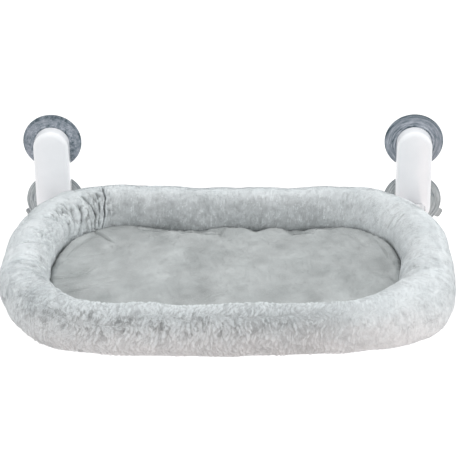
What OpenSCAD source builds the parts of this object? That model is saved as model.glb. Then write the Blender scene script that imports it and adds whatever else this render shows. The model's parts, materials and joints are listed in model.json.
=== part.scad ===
// Window mounted cat perch: a plush ring bed on a bent steel tube frame,
// carried by two moulded brackets that each hold two suction cups.
// Y = 0 is the window glass and the room is towards -Y. X runs along the glass and Z is up.
// The origin is the centre of the four cups, on the glass. Lengths are millimetres.

/* [Bed] */
// Overall width of the plush ring
bed_w = 600; // [560:5:620]
// Overall depth of the plush ring
bed_d = 404; // [380:2:430]
// Thickness of the plush ring
ring_d = 71; // [66:1:75]
// Corner radius along the middle of the plush ring
ring_corner_r = 125; // [118:1:132]
// Gap from the glass to the back of the plush ring
bed_gap = 46; // [44:1:56]
// Height of the ring's middle above the centres of the lower cups
bed_rise = 28; // [26:0.5:31]
// How far the cushion's edge lies below the middle of the ring
cushion_drop = 12.7; // [9:0.1:18]
// How much the cushion rises from its edge to its middle
cushion_crown = 7; // [3:0.5:12]
// Depth of the deepest folds round the inside of the ring
fold_depth = 5; // [0:0.5:7]

/* [Brackets] */
// Distance from the end of the bed in to the middle of each bracket
bracket_inset = 43; // [40:0.5:46]
// Vertical distance between the two cups of a bracket
cup_spacing = 93; // [90:1:98]
// Width of the bracket cover
cover_w = 50; // [47:0.5:56]
// Distance from the glass to the front of the cover
cover_front = 31; // [29.5:0.5:33]
// Wall of the cover
cover_wall = 2.2; // [1.6:0.1:2.6]
// Rounding of the cover's front edge
cover_round = 7; // [5:0.5:9]
// How far the cover's front bulges
cover_crown = 1; // [0.4:0.1:1.4]
// Distance from the glass to the back of the cover's skirt
skirt_back = 8.4; // [8.2:0.1:10]

/* [Suction cups] */
// Diameter of a suction cup
cup_d = 83; // [76:0.5:86]
// Width of the flat sealing lip
lip_w = 5.5; // [4:0.5:8]
// Thickness of the cup at its rim
rim_t = 1.8; // [1.4:0.1:2.4]
// Diameter of the neck that the bracket seats on
neck_d = 28; // [25:0.5:32]
// Height of the neck's face above the glass
neck_h = 12; // [11.5:0.1:13]
// Depth of the hollow that holds the vacuum
hollow_h = 2.2; // [1.5:0.1:3]
// How far the release tab stands out of the rim
tab_out = 6.5; // [4:0.5:9]
// Width of the release tab
tab_w = 14; // [10:0.5:18]

/* [Hinges] */
// Height of the hinge pins above the centres of the lower cups
pivot_rise = 21.5; // [19:0.5:23]
// Gap left between the ring and the covers when the perch is folded up
fold_gap = 2; // [1:0.5:4]
// Diameter of a hinge pin
pin_d = 6; // [5:0.1:7]
// Distance from the glass to the face that stops the arm
stop_y = 33; // [31:0.5:35]

/* [Frame] */
// Outer diameter of the steel tube
tube_d = 12; // [11:0.1:12.6]
// Wall of the steel tube
tube_wall = 1; // [0.8:0.1:1.2]
// Bend radius of the frame's front corners
frame_bend_r = 115; // [95:1:130]
// How far the front tube sits inside the middle of the ring
front_inset = 32; // [28:1:45]
// Length of the socket that takes the tube
socket_len = 42; // [40:1:46]
// Thickness of the sling cloth
cloth_t = 1.2; // [0.8:0.1:1.6]

/* [Hidden] */
$fn = 48;

// Clearances, and the overrun of every cut
fit_gap = 0.05;
pin_gap = 0.08;
side_gap = 0.3;
stop_gap = 0.15;
soft_gap = 0.2;
over = 1;

// Places of the bed, the cups and the pivot
cup_r = cup_d / 2;
cup_z = cup_spacing / 2;
bracket_x = bed_w / 2 - bracket_inset;
ring_r = ring_d / 2;
ring_z = bed_rise - cup_z;
ring_half_w = bed_w / 2 - ring_r;
ring_half_d = bed_d / 2 - ring_r;
bed_y = bed_gap + bed_d / 2;
bed_bottom = ring_z - ring_r;
pivot_z = pivot_rise - cup_z;
pivot_y = cover_front + fold_gap + ring_z + ring_r - pivot_z;

// Suction cup
shoulder_h = 1;
ripple_h = 0.45;
ripple_pitch = 3.4;
edge_round = 0.7;
cup_curve_share = 1.25;
cup_steps = 32;

// Bracket body
plate_t = 4;
body_wall = 1.8;
body_wall_h = 5;
body_gap = 0.3;
body_w = cover_w - 2 * (cover_wall + body_gap);
plate_front = neck_h + plate_t;
boss_r = 6.4;
boss_h = 3;
rib_t = 1.6;

// Fasteners inside a bracket
stud_r = 3;
stud_flange_r = 9.5;
stud_flange_t = 2;
stud_back = 5.5;
washer_r = 8;
washer_t = 1.2;
nut_flats = 10;
nut_t = 5;
stud_end = plate_front + washer_t + nut_t + stud_r / 2;
post_z = cup_z / 3;
post_r = 4;
screw_r = 1.75;
screw_head_r = 3.4;
screw_head_t = 1.9;
screw_len = 10;

// Hinge
eye_r = 8;
ear_in = 8;
ear_t = 4;
ear_out = ear_in + ear_t;
ear_root_r = 12;
ear_root_y = 22;
ear_root_drop = 10.5;
ear_root_z = -cup_z - ear_root_drop;
arm_half = ear_in - side_gap;
web_half = 5;
pocket_depth = 2.5;
pocket_rim = 2;
pin_head_r = 5;
pin_head_t = 2;
clip_t = 0.8;
clip_r = 5;
groove_r_share = 0.78;
slot_gap = 0.5;

// Frame
strip_t = 1;
strip_len = 110;
strip_w = 22;
sleeve_gap = 0.3;
tube_r = tube_d / 2;
bore_r = tube_r - tube_wall;
sleeve_r = tube_r + sleeve_gap + cloth_t;
tube_z = bed_bottom - soft_gap - cloth_t - 2 * strip_t - sleeve_r;
socket_wall = 3.6;
socket_floor = 6;
socket_r = tube_r + socket_wall;
socket_back = pivot_y - eye_r - socket_r;
socket_front = socket_back + socket_len;
leg_back = socket_back + socket_floor;
front_y = bed_y + ring_half_d - front_inset;
corner_y = front_y - frame_bend_r;
corner_x = bracket_x - frame_bend_r;
spigot_len = 30;
cross_gap = 1;
cross_y = socket_front + cross_gap + tube_r;
sleeve_start = cross_y + tube_d;
cross_sleeve_half = bracket_x - 3 * tube_r;
plug_len = 20;
cross_screw_r = 2;
cross_head_r = 4;
cross_head_t = 2.5;

// Snap button and its spring
button_in = 13;
button_y = leg_back + button_in;
button_r = 2.6;
button_lip_r = 3.4;
button_lip_t = 0.7;
button_seat = 2.3;
button_back = bore_r - button_seat;
button_out = 1;
button_pad_r = 4.6;
button_pad_out = 0.6;
button_end = socket_r + button_pad_out + button_out;
spring_t = 0.6;
spring_half_w = 1.8;
spring_len = 17;

// Counts and shares of the soft forms. Lists go round from the back right corner: corners, then the
// sides that follow them. Folds are deep at the back left, shallow along the left and slight elsewhere.
ring_sides = 14;
fold_steps = 4;
ring_corner_steps = [12, 20, 16, 12];
ring_side_steps = [5, 8, 5, 3];
corner_fold_shares = [0.4, 1, 0.6, 0.4];
side_fold_shares = [0, 0.5, 0, 0];
cushion_gap = 0.6;
cushion_corner_steps = [8, 8, 8, 8];
cushion_side_steps = [6, 3, 6, 3];
cushion_levels = 7;
// The cushion's side: heights as shares of the edge height, and how far each is drawn in from the ring,
// as shares of the same. Below the widest share it no longer follows the ring.
cushion_side_shares = [[0, 0.3], [0.12, 0.08], [0.35, 0], [0.6, 0], [0.85, 0.02], [1, 0.08]];
cushion_widest_share = 0.35;

// Points of an arc of radius r round c, from angle a to angle b
function arc(c, r, a, b, n = 6) =
    [for (i = [0:n]) let (t = a + (b - a) * i / n) c + r * [cos(t), sin(t)]];

// The two straight edges of a link between circles a and b, as four points: a, b, then back b, a
function link_edges(a, ra, b, rb) =
    let (l = norm(b - a), u = (b - a) / l, n = [-u[1], u[0]], s = (ra - rb) / l, c = sqrt(1 - s * s))
    let (up = s * u + c * n, down = s * u - c * n) [a + ra * up, b + rb * up, b + rb * down, a + ra * down];

// Flat link with round ends
module link(a, ra, b, rb) {
    translate(a) circle(ra);
    translate(b) circle(rb);
    polygon(link_edges(a, ra, b, rb));
}

// Upright capsule, width w and distance c between the centres of its ends
module capsule(w, c) {
    square([w, c], center = true);
    for (s = [-1, 1]) translate([0, s * c / 2]) circle(d = w);
}

// Raises a flat shape drawn in X and Z from height a to height b above the glass
module off_glass(a, b) rotate([90, 0, 0]) translate([0, 0, a]) linear_extrude(b - a) children();

// Spreads a side view drawn in Y and Z to half the width w each way along X
module across(w) rotate([90, 0, 90]) linear_extrude(2 * w, center = true) children();

// Round bar along X from a to b
module bar_x(r, a, b) translate([a, 0, 0]) rotate([0, 90, 0]) cylinder(r = r, h = b - a);

// Round bar that runs into the room from a to b
module bar_y(r, a, b) translate([0, -a, 0]) rotate([90, 0, 0]) cylinder(r = r, h = b - a);

// Puts a right-hand piece on one side: 1 is right, -1 is left
module on_side(side) mirror([side < 0 ? 1 : 0, 0, 0]) translate([bracket_x, 0, 0]) children();

// Places its children at the upper and the lower cup
module at_both_cups() for (z = [cup_z, -cup_z]) translate([0, 0, z]) children();

// Height of the cup's front face at radius r: a bell with moulded rings
function cup_front(r) =
    rim_t + (neck_h - shoulder_h - rim_t) * pow((cup_r - r) / (cup_r - neck_d / 2), cup_curve_share)
    + ripple_h * (1 - cos(360 * (cup_r - r) / ripple_pitch)) / 2 * min(1, (cup_r - r) / ripple_pitch);

// Half section of a suction cup, in radius and height above the glass
function cup_section() = concat(
    [for (i = [0:6]) let (q = i / 6) [(cup_r - lip_w) * q, hollow_h * (1 - pow(q, 3))]],
    [[cup_r - edge_round, 0], [cup_r, edge_round]],
    [for (i = [0:cup_steps]) let (r = cup_r - (cup_r - neck_d / 2) * i / cup_steps) [r, cup_front(r)]],
    [[neck_d / 2, neck_h], [0, neck_h]]
);

// tab_angle is measured from the outward side, anticlockwise seen from the room
module suction_cup(z, tab_angle) {
    tip = lip_w / 2 + tab_out - tab_w / 4;
    color("slategray") translate([0, 0, z]) difference() {
        union() {
            rotate([90, 0, 0]) rotate_extrude($fn = 96) polygon(cup_section());
            off_glass(edge_round / 2, rim_t - edge_round / 2) rotate(tab_angle)
                translate([cup_r - lip_w / 2, 0]) {
                    translate([0, -tab_w / 2]) square([tip, tab_w]);
                    for (s = [-1, 1]) translate([tip, s * tab_w / 4]) circle(r = tab_w / 4);
                    translate([tip, -tab_w / 4]) square([tab_w / 4, tab_w / 2]);
                }
        }
        bar_y(stud_flange_r + fit_gap, stud_back - fit_gap, stud_back + stud_flange_t + fit_gap);
        bar_y(stud_r + fit_gap, stud_back, neck_h + over);
    }
}

module cup_studs() color("silver") at_both_cups() {
    bar_y(stud_flange_r, stud_back, stud_back + stud_flange_t);
    bar_y(stud_r, stud_back, stud_end);
}

module cup_washers() color("silver") at_both_cups() difference() {
    bar_y(washer_r, plate_front, plate_front + washer_t);
    bar_y(stud_r + side_gap, plate_front - over, plate_front + washer_t + over);
}

module cup_nuts() color("silver") at_both_cups() difference() {
    off_glass(plate_front + washer_t, plate_front + washer_t + nut_t)
        circle(r = nut_flats / 2 / cos(30), $fn = 6);
    bar_y(stud_r + fit_gap, plate_front, stud_end + over);
}

// Side view of an ear, in Y and Z
ear_root = [-ear_root_y, ear_root_z];
ear_tip = [-pivot_y, pivot_z];
module ear_view() difference() {
    link(ear_root, ear_root_r, ear_tip, eye_r);
    translate([-neck_h, ear_root_z - 2 * ear_root_r]) square([2 * ear_root_r, 4 * ear_root_r]);
}

// Height of the ear's upper edge at distance y from the glass
function ear_top(y) =
    let (e = link_edges(ear_tip, eye_r, ear_root, ear_root_r), a = e[0][1] > e[3][1] ? e[0] : e[3],
         b = e[0][1] > e[3][1] ? e[1] : e[2])
    a[1] + (b[1] - a[1]) * (-y - a[0]) / (b[0] - a[0]);

// Moulded base plate with a rim, screw bosses, ribs and the two ears of the hinge
module bracket_body() {
    color("whitesmoke") difference() {
        union() {
            off_glass(neck_h, plate_front) capsule(body_w, cup_spacing);
            off_glass(plate_front - over, plate_front + body_wall_h) difference() {
                capsule(body_w, cup_spacing);
                capsule(body_w - 2 * body_wall, cup_spacing);
                // room for the arm between the ears
                translate([-ear_in, -cup_spacing]) square([2 * ear_in, cup_spacing / 2]);
            }
            for (z = [-1, 1]) translate([0, 0, z * post_z])
                bar_y(boss_r, plate_front - over, plate_front + boss_h);
            for (z = [-1, 1]) off_glass(plate_front - over, plate_front + boss_h)
                translate([-body_w / 2 + body_wall / 2, z * (post_z + boss_r) - rib_t / 2])
                    square([body_w - body_wall, rib_t]);
            for (s = [-1, 1]) translate([s * (ear_in + ear_t / 2), 0, 0]) across(ear_t / 2) ear_view();
            // the block that stops the arm's heel
            translate([-ear_in - over, -stop_y, ear_root_z - ear_root_r])
                cube([2 * (ear_in + over), stop_y - neck_h, ear_root_r]);
        }
        at_both_cups() bar_y(stud_r + side_gap, neck_h - over, plate_front + over);
        for (z = [-1, 1]) translate([0, 0, z * post_z]) {
            bar_y(post_r + side_gap, plate_front, plate_front + boss_h + over);
            bar_y(screw_r + side_gap, neck_h - over, plate_front + over);
            bar_y(screw_head_r + side_gap, neck_h - over, neck_h + screw_head_t + fit_gap);
        }
        translate([0, -pivot_y, pivot_z]) bar_x(pin_d / 2 + fit_gap, -ear_out - over, ear_out + over);
    }
}

// Half section of the cover's shell, in X and height above the glass
function cover_section() =
    let (
        r = cover_round, w = cover_wall, a = cover_w / 2 - r, f = cover_front, edge = f - cover_crown,
        bulge = [for (i = [0:5]) let (q = i / 6) [a * q, f - cover_crown * q * q]]
    ) concat(
        bulge,
        arc([a, edge - r], r, 90, 0),
        [[a + r, skirt_back], [a + r - w, skirt_back]],
        arc([a, edge - r], r - w, 0, 90),
        [for (i = [0:5]) bulge[5 - i] - [0, w]]
    );

// Capsule shell with two screw posts inside and a slot at the bottom for the ears
module bracket_cover() {
    slot_top = ear_top(cover_front) + slot_gap;
    color("white") difference() {
        union() {
            for (s = [0, 1]) mirror([0, 0, s]) translate([0, 0, cup_z])
                rotate([90, 0, 0]) rotate_extrude(angle = 180, $fn = 72) polygon(cover_section());
            for (s = [0, 1]) mirror([s, 0, 0])
                translate([0, 0, -cup_z]) linear_extrude(cup_spacing)
                    mirror([0, 1]) polygon(cover_section());
            for (z = [-1, 1]) translate([0, 0, z * post_z])
                bar_y(post_r, plate_front + fit_gap, cover_front - cover_crown - cover_wall / 2);
        }
        translate([-ear_out - slot_gap, -cover_front - over, slot_top - 2 * cup_spacing])
            cube([2 * (ear_out + slot_gap), cover_front + over, 2 * cup_spacing]);
        for (z = [-1, 1]) translate([0, 0, z * post_z])
            bar_y(screw_r + fit_gap, plate_front - over, neck_h + screw_len + screw_r);
    }
}

module cover_screws() color("silver") for (z = [-1, 1]) translate([0, 0, z * post_z]) {
    bar_y(screw_head_r, neck_h + fit_gap, neck_h + screw_head_t);
    bar_y(screw_r, neck_h + fit_gap, neck_h + screw_len);
}

module hinge_pin() color("silver") translate([0, -pivot_y, pivot_z]) difference() {
    groove = ear_out + fit_gap;
    union() {
        bar_x(pin_d / 2, -groove - 2 * clip_t, ear_out + pin_head_t);
        bar_x(pin_head_r, ear_out + fit_gap, ear_out + pin_head_t);
    }
    difference() {
        bar_x(pin_d, -groove - clip_t - fit_gap, -groove);
        bar_x(groove_r_share * pin_d / 2, -groove - 2 * clip_t, -groove + over);
    }
}

// Open retaining ring in the pin's groove
module pin_clip() color("dimgray") translate([-ear_out - clip_t / 2 - 3 * fit_gap / 2, -pivot_y, pivot_z])
    across(clip_t / 2) difference() {
        circle(r = clip_r);
        circle(r = groove_r_share * pin_d / 2 + fit_gap);
        translate([-groove_r_share * pin_d / 2, -clip_r - over])
            square([groove_r_share * pin_d, clip_r + over]);
    }

// Arm that swings on the pin: an eye, a pocketed web, a heel that meets the stop and the tube's socket
module hinge_arm() {
    heel = [-stop_y - stop_gap - socket_r, tube_z];
    toe = [-socket_front + socket_r, tube_z];
    pocket_bottom = [0, socket_r + pocket_rim];
    color("whitesmoke") difference() {
        union() {
            difference() {
                across(web_half) {
                    link(ear_tip, eye_r, heel, socket_r);
                    link(ear_tip, eye_r, toe, socket_r);
                    link(heel, socket_r, toe, socket_r);
                    polygon([ear_tip, heel, toe]);
                }
                for (s = [-1, 1]) translate([s * web_half, 0, 0]) across(pocket_depth)
                    polygon([
                        ear_tip - [0, eye_r + 2 * pocket_rim], heel + pocket_bottom, toe + pocket_bottom
                    ]);
            }
            translate([-arm_half, heel[0], tube_z - socket_r]) cube([2 * arm_half, socket_r, 2 * socket_r]);
            translate([0, -pivot_y, pivot_z]) bar_x(eye_r, -arm_half, arm_half);
            translate([0, 0, tube_z]) bar_y(socket_r, socket_back, socket_front);
            translate([0, -button_y, tube_z]) bar_x(button_pad_r, 0, socket_r + button_pad_out);
        }
        translate([0, -pivot_y, pivot_z]) bar_x(pin_d / 2 + pin_gap, -arm_half - over, arm_half + over);
        translate([0, 0, tube_z]) bar_y(tube_r + fit_gap, leg_back, socket_front + over);
        translate([0, -button_y, tube_z]) bar_x(button_r + side_gap, 0, button_end + over);
    }
}

// Domed button with a lip that stays inside the tube
module snap_button() color("silver") translate([0, -button_y, tube_z]) {
    dome = button_out / 2;
    bar_x(button_lip_r, button_back, button_back + button_lip_t);
    bar_x(button_r, button_back, button_end - dome);
    translate([button_end - dome, 0, 0]) rotate([0, 90, 0])
        cylinder(r1 = button_r, r2 = button_r / 2, h = dome);
}

// Bent strip inside the tube that pushes the button out, drawn in X and Y
module button_spring() {
    near = button_back - fit_gap;
    far = -sqrt(pow(bore_r, 2) - pow(spring_half_w, 2)) + fit_gap;
    color("dimgray") translate([0, -button_y, tube_z - spring_half_w]) linear_extrude(2 * spring_half_w)
        polygon([
            [near, button_lip_r], [near, -button_lip_r], [spring_t, -spring_len + spring_t],
            [0, -spring_len], [-spring_t, -spring_len + spring_t], [far, button_lip_r],
            [far + spring_t, button_lip_r], [0, -spring_len + 2 * spring_t],
            [near - spring_t, -button_lip_r], [near - spring_t, button_lip_r]
        ]);
}

// Round section swept along the right half of the frame, from the given start to the middle of the front
module half_loop(r, start) {
    translate([bracket_x, 0, 0]) bar_y(r, start, corner_y);
    translate([corner_x, -corner_y, 0]) rotate([0, 0, -90]) rotate_extrude(angle = 90, $fn = 96)
        translate([frame_bend_r, 0]) circle(r = r);
    translate([0, -front_y, 0]) bar_x(r, 0, corner_x);
}

// Side 1 is the right half with the plain end, -1 the left half, whose reduced end fits into it
module frame_tube(side) color("white") mirror([side < 0 ? 1 : 0, 0, 0]) translate([0, 0, tube_z]) {
    difference() {
        half_loop(tube_r, leg_back + fit_gap);
        half_loop(bore_r, leg_back - over);
        if (side > 0) translate([0, -front_y, 0]) bar_x(bore_r, -over, over);
        translate([bracket_x, -button_y, 0]) bar_x(button_r + side_gap, 0, tube_r + over);
        translate([bracket_x, -cross_y, 0])
            bar_x(cross_screw_r + side_gap, -tube_r - over, tube_r + over);
    }
    if (side < 0) translate([0, -front_y, 0]) difference() {
        union() {
            bar_x(bore_r - pin_gap, -spigot_len, tube_wall);
            bar_x(tube_r, 0, tube_wall);
        }
        bar_x(bore_r - tube_wall - pin_gap, -spigot_len - over, tube_wall + over);
    }
}

// Straight tube whose ends are coped to sit on the legs
module cross_tube() color("white") translate([0, -cross_y, tube_z]) difference() {
    bar_x(tube_r, -bracket_x, bracket_x);
    bar_x(bore_r, -bracket_x - over, bracket_x + over);
    for (s = [-1, 1]) translate([s * bracket_x, 0, 0]) bar_y(tube_r + fit_gap, -tube_d, tube_d);
}

// Threaded plugs in the ends of the cross tube
module cross_tube_plugs() {
    plug_end = bracket_x - tube_r - fit_gap;
    color("gray") for (s = [0, 1]) mirror([s, 0, 0]) translate([0, -cross_y, tube_z]) difference() {
        bar_x(bore_r - fit_gap, plug_end - plug_len, plug_end);
        bar_x(cross_screw_r + fit_gap, plug_end - plug_len - over, plug_end + over);
    }
}

module cross_tube_screws() {
    head_end = bracket_x + tube_r + cross_head_t;
    color("silver") for (s = [0, 1]) mirror([s, 0, 0]) translate([0, -cross_y, tube_z]) {
        bar_x(cross_screw_r, bracket_x - tube_r - plug_len + cross_screw_r, head_end);
        bar_x(cross_head_r, bracket_x + tube_r + fit_gap, head_end);
    }
}

// Outline of the sling between the tubes, in X and Y
module sling_outline() {
    translate([-bracket_x, -corner_y]) square([2 * bracket_x, corner_y - sleeve_start]);
    translate([-corner_x, -front_y]) square([2 * corner_x, front_y - sleeve_start]);
    for (s = [-1, 1]) translate([s * corner_x, -corner_y]) circle(r = frame_bend_r, $fn = 96);
    translate([-cross_sleeve_half, -sleeve_start - over])
        square([2 * cross_sleeve_half, sleeve_start + over - cross_y]);
}

// Cloth with a sleeve along each tube
module sling() color("lightgray") translate([0, 0, tube_z]) difference() {
    union() {
        translate([0, 0, sleeve_r - cloth_t]) linear_extrude(cloth_t) sling_outline();
        for (s = [0, 1]) mirror([s, 0, 0]) half_loop(sleeve_r, sleeve_start);
        translate([0, -cross_y, 0]) bar_x(sleeve_r, -cross_sleeve_half, cross_sleeve_half);
    }
    for (s = [0, 1]) mirror([s, 0, 0]) half_loop(tube_r + sleeve_gap, sleeve_start - over);
    translate([0, -front_y, 0]) bar_x(tube_r + sleeve_gap, -over, over);
    translate([0, -cross_y, 0])
        bar_x(tube_r + sleeve_gap, -cross_sleeve_half - over, cross_sleeve_half + over);
}

// Four strips of hook and loop tape that hold the bed to the sling
module strips() {
    for (x = [-1, 1], y = [cross_y + 2 * strip_w, front_y - 2 * strip_w])
        translate([x * (corner_x / 2 + strip_w) - strip_len / 2, -y - strip_w / 2, 0])
            cube([strip_len, strip_w, strip_t]);
}
module hook_strips() color("dimgray") translate([0, 0, tube_z + sleeve_r]) strips();
module loop_strips() color("gray") translate([0, 0, tube_z + sleeve_r + strip_t]) strips();

// Flat panel with round corners, as wide as the middle of the ring
module underside_panel() color("gainsboro")
    translate([0, -bed_y, tube_z + sleeve_r + 2 * strip_t]) linear_extrude(cloth_t) {
        square([2 * (ring_half_w - ring_corner_r), 2 * ring_half_d], center = true);
        square([2 * ring_half_w, 2 * (ring_half_d - ring_corner_r)], center = true);
        for (x = [-1, 1], y = [-1, 1])
            translate([x * (ring_half_w - ring_corner_r), y * (ring_half_d - ring_corner_r)])
                circle(r = ring_corner_r, $fn = 96);
    }

// Stations round a rounded rectangle: [x, y, outward x, outward y, depth of the fold there as a share]
function loop_stations(half_w, half_d, r, corner_steps, side_steps, corner_shares, side_shares) = [
    for (c = [0:3]) let (
        here = [c == 0 || c == 3 ? 1 : -1, c < 2 ? 1 : -1],
        next = [c == 0 || c == 1 ? -1 : 1, c == 1 || c == 2 ? -1 : 1],
        inner = [half_w - r, half_d - r],
        from = [here[0] * inner[0], here[1] * inner[1]],
        to = [next[0] * inner[0], next[1] * inner[1]],
        n = corner_steps[c],
        m = side_steps[c],
        out = [cos(90 * (c + 1)), sin(90 * (c + 1))]
    ) each concat(
        [for (k = [0:n]) let (u = [cos(90 * (c + k / n)), sin(90 * (c + k / n))])
            concat(from + r * u, u, [corner_shares[c] * fold_share(k)])],
        [for (k = [1:m - 1])
            concat(from + (to - from) * k / m + r * out, out, [side_shares[c] * fold_share(k)])]
    )
];

// One fold takes fold_steps steps: nothing at its ends and 1 at its bottom
function fold_share(k) = (1 - cos(360 * k / fold_steps)) / 2;

// Stuffed ring: it sits on a flat, and folds gather round the inside of its corners
module plush_ring() {
    stations = loop_stations(ring_half_w, ring_half_d, ring_corner_r, ring_corner_steps,
                             ring_side_steps, corner_fold_shares, side_fold_shares);
    n = len(stations);
    m = ring_sides;
    half = 180 / m;
    points = [
        for (s = stations, j = [0:m - 1]) let (
            t = half + 360 * j / m - 90,
            r = ring_r - fold_depth * s[4] * (1 - cos(t)) / 2 * (1 + sin(t)) / 2,
            flat = j == 0 || j == m - 1 ? ring_r * (1 - cos(half)) : 0,
            out = r * cos(t)
        ) [s[0] + s[2] * out, s[1] + s[3] * out, r * sin(t) - flat]
    ];
    faces = [
        for (i = [0:n - 1], j = [0:m - 1]) let (
            a = i * m + j, b = i * m + (j + 1) % m, c = (i + 1) % n * m + (j + 1) % m, d = (i + 1) % n * m + j
        ) each [[a, b, c], [a, c, d]]
    ];
    color("lightgray") translate([0, -bed_y, ring_z]) polyhedron(points, faces, convexity = 6);
}

// How far the ring reaches in from its middle line at height z above or below its middle
function ring_reach(z) = sqrt(pow(ring_r, 2) - pow(z, 2));

// Cushion inside the ring: drawn-in sides, a rounded edge and a crowned top
module nest_cushion() {
    no_folds = [0, 0, 0, 0];
    stations = loop_stations(ring_half_w, ring_half_d, ring_corner_r, cushion_corner_steps,
                             cushion_side_steps, no_folds, no_folds);
    n = len(stations);
    edge_h = ring_r - cushion_drop - soft_gap;
    side = [
        for (l = cushion_side_shares) let (h = edge_h * max(l[0], cushion_widest_share))
            [ring_reach(ring_r - soft_gap - h) + cushion_gap + l[1] * edge_h, l[0] * edge_h]
    ];
    edge_in = side[len(side) - 1][0];
    levels = len(side) + cushion_levels - 1;
    points = concat(
        [for (l = side, s = stations) [s[0] - s[2] * l[0], s[1] - s[3] * l[0], l[1]]],
        [for (k = [1:cushion_levels - 1], s = stations) let (q = 1 - k / cushion_levels)
            [(s[0] - s[2] * edge_in) * q, (s[1] - s[3] * edge_in) * q, edge_h + cushion_crown * (1 - q * q)]],
        [[0, 0, 0], [0, 0, edge_h + cushion_crown]]
    );
    walls = [
        for (l = [0:levels - 2], i = [0:n - 1]) let (
            a = l * n + i, b = l * n + (i + 1) % n, c = (l + 1) * n + (i + 1) % n, d = (l + 1) * n + i
        ) each [[a, c, b], [a, d, c]]
    ];
    ends = [
        for (i = [0:n - 1]) each [
            [levels * n, i, (i + 1) % n],
            [levels * n + 1, (levels - 1) * n + (i + 1) % n, (levels - 1) * n + i]
        ]
    ];
    color("gainsboro") translate([0, -bed_y, bed_bottom + soft_gap])
        polyhedron(points, concat(walls, ends), convexity = 4);
}

// Each bracket's tabs: the upper ones hang down and the lower ones point out and down
upper_tab = -90;
lower_tab = -28;

// Where each node goes
on_side(-1) bracket_body();  // bracket_body_left
on_side(1) bracket_body();  // bracket_body_right
on_side(-1) bracket_cover();  // bracket_cover_left
on_side(1) bracket_cover();  // bracket_cover_right
on_side(-1) suction_cup(cup_z, upper_tab);  // suction_cup_upper_left
on_side(-1) suction_cup(-cup_z, lower_tab);  // suction_cup_lower_left
on_side(1) suction_cup(cup_z, upper_tab);  // suction_cup_upper_right
on_side(1) suction_cup(-cup_z, lower_tab);  // suction_cup_lower_right
on_side(-1) cup_studs();  // cup_studs_left
on_side(1) cup_studs();  // cup_studs_right
on_side(-1) cup_washers();  // cup_washers_left
on_side(1) cup_washers();  // cup_washers_right
on_side(-1) cup_nuts();  // cup_nuts_left
on_side(1) cup_nuts();  // cup_nuts_right
on_side(-1) cover_screws();  // cover_screws_left
on_side(1) cover_screws();  // cover_screws_right
on_side(-1) hinge_pin();  // hinge_pin_left
on_side(1) hinge_pin();  // hinge_pin_right
on_side(-1) pin_clip();  // pin_clip_left
on_side(1) pin_clip();  // pin_clip_right
on_side(-1) hinge_arm();  // hinge_arm_left
on_side(1) hinge_arm();  // hinge_arm_right
on_side(-1) snap_button();  // snap_button_left
on_side(1) snap_button();  // snap_button_right
on_side(-1) button_spring();  // button_spring_left
on_side(1) button_spring();  // button_spring_right
frame_tube(-1);  // frame_tube_left
frame_tube(1);  // frame_tube_right
cross_tube();
cross_tube_plugs();
cross_tube_screws();
sling();
hook_strips();
loop_strips();
underside_panel();
nest_cushion();
plush_ring();
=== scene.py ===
"""Looks of a window mounted pet perch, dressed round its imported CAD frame.

The plush ring and its pile, the nest pad, the panel, the sling, the tapes and the leaf springs are made here, in
millimetres in the frame's own axes. The other nodes keep their CAD shape and get procedural materials.
"""
import json
import math

import bpy
import numpy as np
from mathutils import Matrix, Vector, kdtree


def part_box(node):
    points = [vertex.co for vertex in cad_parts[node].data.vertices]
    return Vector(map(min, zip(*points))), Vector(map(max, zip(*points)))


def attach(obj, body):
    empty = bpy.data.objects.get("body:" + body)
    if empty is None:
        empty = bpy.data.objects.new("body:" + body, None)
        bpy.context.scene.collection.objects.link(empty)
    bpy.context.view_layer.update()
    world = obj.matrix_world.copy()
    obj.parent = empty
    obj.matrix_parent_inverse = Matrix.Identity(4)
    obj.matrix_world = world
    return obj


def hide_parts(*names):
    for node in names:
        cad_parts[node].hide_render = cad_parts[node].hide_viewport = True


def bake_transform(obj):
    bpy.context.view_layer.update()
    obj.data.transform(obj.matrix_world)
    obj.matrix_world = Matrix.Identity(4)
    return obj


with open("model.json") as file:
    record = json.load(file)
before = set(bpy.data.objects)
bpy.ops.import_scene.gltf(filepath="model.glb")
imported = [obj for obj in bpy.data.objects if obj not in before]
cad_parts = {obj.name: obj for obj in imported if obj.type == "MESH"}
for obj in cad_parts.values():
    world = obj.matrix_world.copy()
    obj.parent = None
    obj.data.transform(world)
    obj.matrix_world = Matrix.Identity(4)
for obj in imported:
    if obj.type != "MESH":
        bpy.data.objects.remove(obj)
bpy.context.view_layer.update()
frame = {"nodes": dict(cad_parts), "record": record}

MM = 0.001
SEED = 7
PERCH = "perch"
TAU = 2 * math.pi


# Sizes read from the frame, in millimetres

def node_box(name):
    return [np.array(end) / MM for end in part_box(name)]


RING_LOW, RING_HIGH = node_box("plush_ring")
PAD_LOW, PAD_HIGH = node_box("nest_cushion")
PANEL_LOW, PANEL_HIGH = node_box("underside_panel")
RING_R = (RING_HIGH[2] - RING_LOW[2]) / 2
RING_Z = (RING_HIGH[2] + RING_LOW[2]) / 2
BED_Y = (RING_HIGH[1] + RING_LOW[1]) / 2
HALF_W = (RING_HIGH[0] - RING_LOW[0]) / 2 - RING_R
HALF_D = (RING_HIGH[1] - RING_LOW[1]) / 2 - RING_R
CORNER_R = 125.0

# The covers of the ring and the pad lie this far inside the ring's solid, which leaves room for their pile.
COVER_IN = 1.5

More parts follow.
